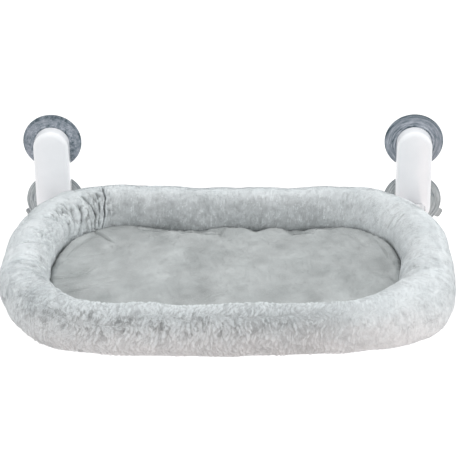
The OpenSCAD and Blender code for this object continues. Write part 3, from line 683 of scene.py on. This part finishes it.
def tufts(name, root, normal, nap, length, lift, width, round_off, tone, place, material, rng):
    """Spikes that leave each root along the normal and lie over along the nap. Their shading follows the cover
    under them, and round_off says how far it turns with each spike instead. tone is how light each spike's root
    and tip are, painted light and shade included, and place its spot on the baked picture, from 0 to 1."""
    n = len(root)
    side = unit(np.cross(normal, nap))
    length, lift, width = (np.broadcast_to(x, n)[:, None] for x in (length, lift, width))
    bend = rng.normal(scale=0.14, size=(n, 1)) * side
    tip = root + length * ((1 - 0.45 * lift) * nap + (0.06 + 0.72 * lift) * normal + bend)
    base = root - 0.4 * width * normal
    ways = [(math.cos(t), math.sin(t)) for t in TAU * np.arange(3) / 3 + math.pi / 2]
    points = np.stack([base + width * (c * side + 0.6 * s * nap) for c, s in ways] + [tip], 1)
    corners = (1, 0, 3), (2, 1, 3), (0, 2, 3), (0, 1, 2)
    faces = [np.arange(n)[:, None] * 4 + f for f in corners]
    own = [unit(np.cross(points[:, b] - points[:, a], points[:, c] - points[:, a])) for a, b, c in corners]
    shades = [np.repeat(unit(normal + round_off * f)[:, None], 3, 1) for f in own]
    marks = [place + 1.5 / math.sqrt(n) * np.array(way) for way in ways] + [place]
    uv = [np.stack([marks[k] for k in f], 1) for f in corners[:3]] + [np.stack([place] * 3, 1)]
    tip = np.column_stack([np.broadcast_to(tone[0], n)] * 3 + [tone[1]])
    piece = mesh_piece(name, points.reshape(-1, 3), faces, material, shades, uv, tip.ravel())
    return piece


def laid(nap, normal):
    """The nap's unit direction along the cover."""
    return unit(nap - (nap * normal).sum(1, keepdims=True) * normal)


def locks(root, normal, nap, spread, size, reach, pull, stray, per_lock, rng):
    """Gathers pile into locks. spread is the cover laid out flat, with the nap along its second axis, and size a
    lock's width and length. Gives the nap turned towards each lock's own line, a random number from 0 to 1 for
    each lock, and how near each root is to the rim of its lock."""
    flat = np.column_stack([spread[:, 0] / size[0], spread[:, 1] / size[1], np.zeros(len(root))])
    count = int(len(root) / per_lock)
    chosen = rng.choice(len(root), count, replace=False)
    tree = kdtree.KDTree(count)
    for i, c in enumerate(chosen):
        tree.insert(flat[c], i)
    tree.balance()
    found = [tree.find_n(p, 2) for p in flat.tolist()]
    lock = np.array([pair[0][1] for pair in found])
    gap = np.array([pair[1][2] - pair[0][2] for pair in found])
    side = unit(np.cross(normal, nap))
    off = ((root[chosen[lock]] - root) * side).sum(1) / reach * pull
    off = np.clip(off, -0.6, 0.6) + stray * rng.normal(size=count)[lock]
    return unit(nap + off[:, None] * side), rng.uniform(size=count)[lock], 1 - ease(gap, 0.08, 0.30)


RING_NORMAL, RING_ALONG, RING_AROUND = surface_frame(RING_POINTS)
PILE_FROM, PILE_TO = -52.0, 210.0
PILE_PARTS = {"back_right": (0.945, 1.13, 1.05), "back": (0.13, 0.315, 1.05), "back_left": (0.315, 0.50, 1.05),
              "front_left": (0.50, 0.61, 1.75), "front_mid_left": (0.61, 0.72, 1.75),
              "front_mid_right": (0.72, 0.83, 1.75), "front_right": (0.83, 0.945, 1.6)}


def comb(points):
    """How far along the ring the pile's locks wander from straight lines round its section."""
    return 2.6 * swirl(points, 22, SEED + 12) + 5.0 * swirl(points, 60, SEED + 11)


def ring_pile(name, first, last, per_mm2, seed):
    """Tufts on the part of the ring between two shares."""
    rng = np.random.default_rng(seed)
    weight = ((SHARE - first) % 1.0 < last - first) * (DEGREES > PILE_FROM) * (DEGREES < PILE_TO)
    area = PATH_LENGTH * (last - first) * TAU * RING_R * (PILE_TO - PILE_FROM) / 360
    spot = scatter(RING_POINTS, weight, int(area * per_mm2), rng)
    root, normal, along, around, deep = (blend_cells(x, *spot) for x in (
        RING_POINTS, RING_NORMAL, RING_ALONG, RING_AROUND, RING_CREASE))
    share, degrees = ring_shares[spot[0]], ring_degrees[spot[1]]
    front, low = on_front(share), low_front(share, degrees)
    even = np.clip(low + front * (0.7 * ease(share, 0.66, 0.80) + 0.6 * ease(degrees, 45, 75)), 0, 1)
    light, crease, middle, outer = ring_tone(root, share, degrees, deep)
    spread = np.column_stack([share * PATH_LENGTH + comb(root), np.radians(degrees) * RING_R])
    slant = (comb(root) - comb(root + around)) / np.maximum(1 + comb(root + along) - comb(root), 0.4)
    slant = slant.clip(-1.5, 1.5) * (0.4 + 0.6 * front)
    over = 1 - 2 * ease(degrees + 14 * swirl(root, 45, SEED + 14), 28, 80)
    nap = -over[:, None] * (around + slant[:, None] * along) + 0.15 * along
    nap = laid(nap + rng.normal(scale=0.08, size=nap.shape), normal)
    length = (2.8 + 3.5 * front * (1 - 0.4 * ease(degrees, 110, 160))) * rng.uniform(0.75, 1.15, len(root))
    size = (4.6, 10.0) if per_mm2 > 1.3 else (2.6, 8.5)
    spread += 0.7 * length[:, None] * np.column_stack([(nap * along).sum(1), (nap * around).sum(1)])
    nap, lock, rim = locks(root, normal, nap, spread, size, length, 0.9, 0.07 + 0.08 * front.mean(),
                           0.8 * per_mm2 * size[0] * size[1], rng)
    length *= (1 - 0.5 * crease) * (1 - 0.45 * rim * front)
    lift = 0.19 + 0.06 * front + 0.04 * swirl(root, 15, SEED + 13)
    lift += (0.06 + (0.20 - 0.11 * even) * front) * (lock - 0.5)
    lift = np.clip(lift + 0.15 * front * (1 - np.abs(over)) - 0.12 * rim * front, 0.04, 0.6)
    patchy = np.clip(lock - 0.5 + 0.25 * swirl(root, 14, SEED + 15), -0.6, 0.6)
    light += (0.46 - 0.28 * front) * (1 - 0.45 * even) * patchy
    # Painted shade in the gaps between locks, deepest in the middle of the front arm
    light -= (0.32 + 0.22 * front - 0.12 * low - 0.26 * even + 0.45 * middle) * rim * ease(lock, 0.1, 0.6)
    # Painted shade at the roots: less of it on the outer sides, more under the front's long pile and in creases
    tone = (0.52 + 0.33 * outer - 0.26 * front) * (1 - 0.6 * crease), light.clip(0, 1)
    place = np.column_stack([(share - first) % 1.0 / (last - first), (degrees - PILE_FROM) / (PILE_TO - PILE_FROM)])
    tufts(name, root, normal, nap, length, lift, 0.60 / math.sqrt(per_mm2 / 1.05), 0.9 + 0.4 * front[:, None], tone,
          0.02 + 0.96 * np.clip(place, 0, 1), RING_PILE, rng)


for i, (part, extent) in enumerate(PILE_PARTS.items()):
    ring_pile(f"ring_pile_{part}", *extent, SEED + 20 + i)


# The nest pad

PAD_EDGE_Z = -31.0
PAD_CROWN = 7.0
PAD_ROWS, PAD_LEVELS = 680, 124
PAD_TUFTS = 46000
PRESSURE, CLOTH_FRAMES, BLOWN_MOST = 4, 20, 5.0

# Heights of the pad's side, the height at which each follows the ring, and its gap from the ring there
PAD_SIDE = (PAD_LOW[2] + 0.2, -42.0, 3.0), (-48.0, -48.0, 0.4), (-42.0, -42.0, 0.4), (-38.0, -38.0, 0.4)

# Creases of the pad: places in X and Y, then depth and half width, all in millimetres
PAD_CREASES = [
    ([(-194, -132), (-183.4, -146.6), (-172.7, -160.8), (-155, -184)], 3.0, 1.3),
    ([(-238, -272), (-220, -272.3), (-204, -267), (-190, -259), (-171, -245)], 2.2, 2.2),
    ([(-228, -215), (-205, -214), (-178, -211), (-160, -203)], 1.0, 5.0),
    ([(-215, -300), (-190, -296), (-165, -286), (-140, -282)], 1.2, 4.0),
    ([(160, -150), (175, -172), (182, -196)], 1.4, 3.5),
    ([(222, -262), (200, -262), (180, -250)], 1.2, 3.5),
    ([(-40, -345), (-20, -322), (10, -308)], 1.0, 5.0),
    ([(90, -140), (75, -165), (50, -182)], 1.0, 5.0),
]


def away_from_line(points, line):
    """Distance in X and Y from points to a broken line, and how far along it the nearest place is, 0 to 1."""
    line = np.array(line, float)
    best, place = np.full(len(points), 1e9), np.zeros(len(points))
    parts = len(line) - 1
    for i in range(parts):
        a, b = line[i], line[i + 1]
        t = np.clip(((points - a) @ (b - a)) / ((b - a) @ (b - a)), 0, 1)
        far = np.linalg.norm(points - a - t[:, None] * (b - a), axis=1)
        place = np.where(far < best, (i + t) / parts, place)
        best = np.minimum(best, far)
    return best, place


def ring_reach(share, height):
    """How far the ring's cover reaches in from its middle line at a height."""
    radius = path_at(share)[2] - COVER_IN
    return np.sqrt(np.maximum(radius ** 2 - (height - RING_Z) ** 2, 1))


def pad_creases(flat):
    """Depth of the pad's creases at places in X and Y, and how near each place is to the bottom of one, which the
    pad's colours darken as painted shade.
    """
    depth, bottom = np.zeros(len(flat)), np.zeros(len(flat))
    for line, deep, width in PAD_CREASES:
        far, place = away_from_line(flat, line)
        fade = window(place, -0.05, 0.12, 0.75, 1.0)
        depth += deep * fade * (np.exp(-(far / width) ** 1.5) - 0.3 * np.exp(-((far - 2.6 * width) / width) ** 2))
        bottom += deep / (1 + width) * fade * np.exp(-(far / 1.2) ** 2)
    return depth, np.clip(bottom, 0, 1)


def pad_top(flat, inward):
    """Height of the pad's top at places in X and Y, where inward is 0 at its edge and 1 in the middle."""
    deep = at_height(flat, 0)
    height = PAD_EDGE_Z + PAD_CROWN * (1 - (1 - inward) ** 2) + 0.5 * swirl(deep, 30, SEED + 32)
    return height + 1.3 * swirl(deep, 95, SEED + 31) * ease(inward, 0, 0.3) - pad_creases(flat)[0]


def brushed_sheen(points):
    """How much lighter or darker the pad is painted at places, as painted sheen and shade where pile brushed one
    way or the other catches the light differently.
    """
    return 0.09 * swirl(points, 52, SEED + 43) + 0.05 * swirl(points * [1, 1.5, 1], 24, SEED + 45)


def closed_pad(rows, high):
    """Points and faces of the pad, closed below and in the middle of its top."""
    return capped(rows, [0, BED_Y, rows[0, 0, 2]], [0, BED_Y, high])


def blown(rows, sides, high):
    """How far each point of the pad moves when a coarse copy, held along its sides and edge, is blown up as cloth
    that is a little too large for it."""
    levels = np.unique(np.r_[0:sides + 1, np.arange(sides, len(rows), 4), len(rows) - 1])
    columns = np.arange(0, PAD_ROWS, 5)
    points, faces = closed_pad(rows[levels][:, columns], high)
    mesh = bpy.data.meshes.new("pad_blank")
    mesh.from_pydata((points * MM).tolist(), [], [f.tolist() for part in faces for f in part])
    blank = placed("pad_blank", mesh)
    held = blank.vertex_groups.new(name="held")
    held.add(list(range((sides + 1) * len(columns))) + [len(points) - 2], 1.0, "REPLACE")
    cloth = blank.modifiers.new("cloth", "CLOTH")
    made = cloth.settings
    made.quality, made.mass, made.vertex_group_mass = 6, 0.25, "held"
    made.tension_stiffness = made.compression_stiffness = 18
    made.bending_stiffness, made.shrink_min = 0.25, -0.05
    made.use_pressure, made.uniform_pressure_force = True, PRESSURE
    made.effector_weights.gravity = 0
    for frame_number in range(1, CLOTH_FRAMES + 1):
        bpy.context.scene.frame_set(frame_number)
    seen = blank.evaluated_get(bpy.context.evaluated_depsgraph_get())
    moved = np.array([v.co for v in seen.data.vertices]) / MM - points
    bpy.context.scene.frame_set(1)
    bpy.data.objects.remove(blank)
    bpy.data.meshes.remove(mesh)
    fine = moved[:-2].reshape(len(levels), len(columns), 3)
    fine = np.concatenate([fine, fine[:, :1]], 1)
    for axis, known, count in (1, np.append(columns, PAD_ROWS), PAD_ROWS), (0, levels, len(rows)):
        fine = np.apply_along_axis(lambda line: np.interp(np.arange(count), known, line), axis, fine)
    for _ in range(3):
        fine = (fine + np.roll(fine, 1, 1) + np.roll(fine, -1, 1)) / 3
    return fine


def nest_pad():
    """The pad as a closed form: bottom, drawn in side, and a crowned top in rows from its edge to the middle."""
    share = np.arange(PAD_ROWS) / PAD_ROWS
    line, out, _ = path_at(share)
    middle = np.array([0, BED_Y])
    edge = line - out * (ring_reach(share, PAD_EDGE_Z) + 0.2)[:, None]
    stray = 3 * swirl(np.hstack([edge, edge[:, :1]]), 60, SEED + 33)
    pucker = 0.7 * np.sin(share * PATH_LENGTH / 16 * TAU + stray)
    top = []
    for q in (1 - (1 - np.linspace(0, 1, PAD_LEVELS)) ** 1.35)[:-1]:
        flat = edge + (middle - edge) * q
        from_edge = np.linalg.norm(flat - edge, axis=1)
        height = pad_top(flat, q) + pucker * np.exp(-from_edge / 12) - 4.2 * np.exp(-(from_edge / 5.0) ** 1.3)
        top.append(np.column_stack([flat, height]))
    side = [at_height(line - out * (ring_reach(share, level) + tuck)[:, None], z)
            for z, level, tuck in PAD_SIDE]
    rows = np.array(side + top)
    high = pad_top(middle[None], 1)[0]
    rows += blown(rows, len(side), high).clip(-BLOWN_MOST, BLOWN_MOST)
    points, faces = closed_pad(rows, rows[-1, :, 2].mean())
    # The pad's cover gets random tone, painted sheen, and painted shade at the bottoms of its creases
    piece = mesh_piece("nest_pad", points, faces, PAD_BACKING,
                       tip=0.60 + brushed_sheen(points) - 0.5 * pad_creases(points[:, :2])[1])
    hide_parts("nest_cushion")
    return rows[len(side):]


def pad_pile(rows):
    """Tufts on the top of the pad, whose rows run from its edge to its middle."""
    rng = np.random.default_rng(SEED + 40)
    normal = surface_frame(rows, closed=False)[0]
    normal *= np.sign(normal[..., 2:])
    weight = np.ones(rows.shape[:2])
    weight[-1] = 0
    spot = scatter(rows, weight, PAD_TUFTS, rng)
    root, normal = (blend_cells(x, *spot) for x in (rows, normal))
    nap = at_height(np.column_stack([0.5 + 0.5 * swirl(root, 90, SEED + 41),
                                     -0.8 + 0.5 * swirl(root, 70, SEED + 42)]), 0)
    nap = laid(nap + rng.normal(scale=0.15, size=root.shape), normal)
    spread = root[:, :2] + 2.5 * swirl(root, 20, SEED + 44)[:, None]
    nap, lock, rim = locks(root, normal, nap, spread, (2.6, 5.0), 4.5, 0.8, 0.10, 5, rng)
    hollow = pad_creases(root[:, :2])[1]
    # Painted shade at the roots, between locks and at the bottoms of creases, over random tone and painted sheen
    tone = 0.45, (0.74 + 0.16 * (lock - 0.5) + brushed_sheen(root) - 0.10 * rim - 0.75 * hollow).clip(0, 1)
    place = (root[:, :2] - rows[..., :2].min((0, 1))) / np.ptp(rows[..., :2], axis=(0, 1))
    length = 3.0 * rng.uniform(0.7, 1.2, len(root)) * (1 - 0.7 * hollow)
    tufts("nest_pile", root, normal, nap, length, 0.16, 0.75, 0.9, tone, 0.02 + 0.96 * place, PAD_PILE, rng)


pad_pile(nest_pad())


# Panel, sling, tapes and stitches

PANEL_POINTS, PANEL_ROWS = 360, 17


def panel():
    """The cloth panel, a closed sheet in rows from its edge to its middle, with a piping round it."""
    line, out, _ = path_at(np.arange(PANEL_POINTS) / PANEL_POINTS)
    outline = at_height(line + out * 1.5, PANEL_HIGH[2] - 0.02)
    middle, down = outline.mean(0), np.array([0, 0, PANEL_HIGH[2] - PANEL_LOW[2]])
    upper = outline + (middle - outline) * np.arange(PANEL_ROWS)[:, None, None] / PANEL_ROWS
    points, faces = capped(np.vstack([upper[::-1] - down, upper]), middle - down, middle)
    piece = mesh_piece("bed_panel", points, faces, PANEL_CLOTH)
    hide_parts("underside_panel")
    points, faces = tube_along(at_height(line + out * 2.6, PANEL_HIGH[2] - 0.9), 1.6)
    cord = mesh_piece("panel_piping", points, [faces], PIPING)


panel()
SLING_LOW, SLING_HIGH = node_box("sling")
SLEEVE_R = (SLING_HIGH[2] - SLING_LOW[2]) / 2
TUBE_Z = SLING_LOW[2] + SLEEVE_R
BRACKET_X = SLING_HIGH[0] - SLEEVE_R
FRONT_Y = -(SLING_LOW[1] + SLEEVE_R)
BEND_R = 115.0
CROSS_Y = 106.4
SLEEVE_START = CROSS_Y + 12.0
CLOTH_T = 1.2
CORNER_X, CORNER_Y = BRACKET_X - BEND_R, FRONT_Y - BEND_R
SHEET_X = BRACKET_X - 18.0
SHEET_Z = TUBE_Z + SLEEVE_R - CLOTH_T
SEAM_Z = SHEET_Z - 0.15
SEAM_IN = SLEEVE_R + 3.5


def tube_loop():
    """Middle line of the tube loop's sleeve, from the left leg round the front to the right leg."""
    turn = np.linspace(0, math.pi / 2, 50)
    half = at_height(np.vstack([
        np.linspace((BRACKET_X, -SLEEVE_START), (BRACKET_X, -CORNER_Y), 60, endpoint=False),
        np.column_stack([CORNER_X + BEND_R * np.cos(turn), -CORNER_Y - BEND_R * np.sin(turn)]),
        np.linspace((CORNER_X, -FRONT_Y), (0, -FRONT_Y), 61)[1:]]), TUBE_Z)
    return np.vstack([half[:-1] * [-1, 1, 1], half[::-1]])


def sleeve_shell(line, seed, sides=28):
    """A cloth sleeve round a tube, with soft ring wrinkles, as a closed shell."""
    turn = TAU * np.arange(sides) / sides
    wrinkle = 0.30 * np.sin(run_length(line) / 8.5 * TAU + 2.4 * swirl(line, 45, seed))[:, None]
    wrinkle = wrinkle * (0.6 + 0.4 * np.sin(turn + 1.0)) - 0.3
    outer, faces = tube_along(line, SLEEVE_R + wrinkle, sides, closed=False)
    inner, _ = tube_along(line, SLEEVE_R - CLOTH_T + wrinkle * 0.4 + 0.1, sides, closed=False)
    size, end = len(outer), len(outer) - sides
    k = np.arange(sides)
    mouth = np.stack([k, k + size, (k + 1) % sides + size, (k + 1) % sides], -1)
    return np.vstack([outer, inner]), [faces, faces[:, ::-1] + size, mouth, mouth[:, ::-1] + end]


def stitches(name, lines, length=3.0, gap=1.4, radius=0.35):
    """Rows of short thread stitches along lines, each a small capsule that dips at its ends."""
    caps = [np.array([[0, 1, 2], [0, 2, 3], [0, 3, 4]]), np.array([[17, 16, 15], [18, 17, 15], [19, 18, 15]])]
    parts = []
    for line in lines:
        steps = run_length(line)
        for s in np.arange(1.0, steps[-1] - length, length + gap):
            at = s + np.linspace(0, length, 4)
            p = np.column_stack([np.interp(at, steps, line[:, k]) for k in range(3)])
            p[:, 2] += np.array([0.35, -0.18, -0.18, 0.35])
            points, faces = tube_along(p, radius, 5, closed=False)
            parts.append((points, [faces, *caps]))
    return joined(name, parts, THREAD)


def sling():
    """Two sleeves, the sheet between them and its seams."""
    loop = tube_loop()
    cross = np.linspace((-SHEET_X, -CROSS_Y, TUBE_Z), (SHEET_X, -CROSS_Y, TUBE_Z), 90)
    xs, ys = np.linspace(-1, 1, 121), np.linspace(CROSS_Y, FRONT_Y, 71)
    bend = CORNER_X + np.sqrt(np.maximum(BEND_R ** 2 - (ys - CORNER_Y) ** 2, 0))
    half = np.where(ys < SLEEVE_START, SHEET_X, np.where(ys <= CORNER_Y, BRACKET_X, bend))[:, None]
    low = np.dstack([half * xs, np.repeat(-ys[:, None], len(xs), 1), np.zeros((len(ys), len(xs)))])
    edge = (1 - np.abs(xs)) * half / 60
    ends = np.minimum(ys - CROSS_Y, FRONT_Y - ys)[:, None] / 60
    sag = ease(edge, 0, 1) * ease(ends, 0, 1) * (0.45 * swirl(low, 60, SEED + 53) - 0.5)
    low[..., 2] = SHEET_Z + np.minimum(sag, 0)
    piece = joined("sling_cloth", [sleeve_shell(loop, SEED + 51), sleeve_shell(cross, SEED + 52),
                                   closed_sheet(low + [0, 0, CLOTH_T], low)], SLING_CLOTH)
    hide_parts("sling")
    aim = np.column_stack([loop[:, 0].clip(-CORNER_X, CORNER_X), loop[:, 1].clip(-CORNER_Y)])
    inward = unit(aim - loop[:, :2])
    back, end = -CROSS_Y - SEAM_IN, SHEET_X - 4
    thread = stitches("sling_stitches", [
        *(at_height(loop[:, :2] + inward * reach, SEAM_Z) for reach in (SEAM_IN, SEAM_IN + 5)),
        np.linspace((-end, back, SEAM_Z), (end, back, SEAM_Z), 60)])


sling()


def tape(tape_name, tape_node, tape_material):
    """Four strips of tape that grow thinner over the last two millimetres to their edge."""
    low, high = node_box(tape_node)
    length, width = 110.0, 22.0
    xs, ys = np.linspace(0, length, 56), np.linspace(0, width, 13)
    rim = np.minimum(np.minimum(xs, length - xs), np.minimum(ys, width - ys)[:, None])
    drop = 0.22 * (1 - np.minimum(1, rim / 2.0))
    parts = []
    for x0 in (low[0], high[0] - length):
        for y0 in (low[1], high[1] - width):
            x, y = np.meshgrid(x0 + xs, y0 + ys)
            parts.append(closed_sheet(np.dstack([x, y, high[2] - drop]), np.dstack([x, y, low[2] + drop])))
    strips = joined(tape_name, parts, tape_material)
    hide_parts(tape_node)


tape("hook_tape", "hook_strips", HOOK_TAPE)
tape("loop_tape", "loop_strips", LOOP_TAPE)


# The leaf springs behind the buttons close up as the buttons go in; here each is a copy of its CAD node in one
# shape

def spring_leaf(side):
    """A copy of the leaf's CAD mesh in place of its hidden node. On the perch the outer leg follows its button
    while the other leg stays against the wall of the tube; the copy keeps one shape.
    """
    node = f"button_spring_{side}"
    leaf = placed(f"spring_leaf_{side}", frame["nodes"][node].data.copy())
    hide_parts(node)
    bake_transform(leaf)


spring_leaf("left")
spring_leaf("right")


# Floor, lights, world and camera

FLOOR_DROP, FLOOR_HALF = 2.0, 14.0
FLOOR_GLOW, SKY_LIGHT = 0.5, 0.84


def floor():
    """Pale paper that a camera sees as white where it is lit, and darker in the object's shadow."""
    mesh = bpy.data.meshes.new("floor")
    mesh.from_pydata([(FLOOR_HALF * x, FLOOR_HALF * y, 0) for x, y in ((-1, -1), (1, -1), (1, 1), (-1, 1))], [],
                     [(0, 1, 2, 3)])
    plane = placed("floor", mesh)
    plane.location = (0, BED_Y * MM, -FLOOR_DROP)
    m = Paint("floor_paper", 1.0, specular=0.0)
    m.set(Base_Color=(0.8, 0.8, 0.8, 1))
    glow = m.node("ShaderNodeEmission", {"Strength": m.math("MULTIPLY", m.seen(), FLOOR_GLOW)})
    both = m.node("ShaderNodeAddShader", {0: m.shader.outputs[0], 1: glow.outputs[0]})
    m.links.new(both.outputs[0], m.nodes["Material Output"].inputs["Surface"])
    mesh.materials.append(m.material)


floor()


def area_light(name, place, size, power, colour=(1, 1, 1)):
    light = bpy.data.lights.new(name, "AREA")
    light.shape, light.size, light.energy, light.color = "DISK", size, power, colour
    lamp = placed(name, light)
    lamp.location = place
    lamp.rotation_euler = (Vector(BED) - Vector(place)).to_track_quat("-Z", "Y").to_euler()


BED = (0, BED_Y * MM, RING_Z * MM)
area_light("key", (-1.1, -1.3, 1.9), 2.4, 11)
area_light("back", (0.2, 1.0, 1.9), 2.4, 8)
area_light("fill", (1.8, -0.4, 0.75), 1.8, 7)
area_light("warm_low", (0.1, -1.3, -0.65), 1.2, 3.9, (1.0, 0.65, 0.57))

world = bpy.data.worlds.new("studio")
world.use_nodes = True
bpy.context.scene.world = world
sky = Tree(world.node_tree)
background = sky.nodes["Background"].inputs
background["Color"].default_value = (1, 1, 1, 1)
sky.links.new(sky.remap(sky.seen(), 0, 1, SKY_LIGHT, 1.0), background["Strength"])

scene = bpy.context.scene
scene.view_settings.view_transform = "Standard"

# The photograph's camera, from its fit to the ring's outline and the cups: angles in degrees, pixels
FRAME_PX = 470
AZIMUTH, ELEVATION, ROLL = 1.71, 28.80, -0.79
DISTANCE = 2.6887
FOCAL_PX = 2021.1
CENTRE_PX = (229.2, 265.3)


def camera():
    data = bpy.data.cameras.new("camera")
    scene.camera = placed("camera", data)
    a, e, r = (math.radians(v) for v in (AZIMUTH, ELEVATION, ROLL))
    turn = Matrix.Rotation(a, 4, "Z") @ Matrix.Rotation(math.pi / 2 - e, 4, "X") @ Matrix.Rotation(r, 4, "Z")
    scene.camera.matrix_world = Matrix.Translation(BED) @ turn @ Matrix.Translation((0, 0, DISTANCE))
    data.sensor_width = 36
    data.lens = FOCAL_PX / FRAME_PX * data.sensor_width
    data.shift_x = (FRAME_PX / 2 - CENTRE_PX[0]) / FRAME_PX
    data.shift_y = (CENTRE_PX[1] - FRAME_PX / 2) / FRAME_PX
    data.clip_end = 50


camera()
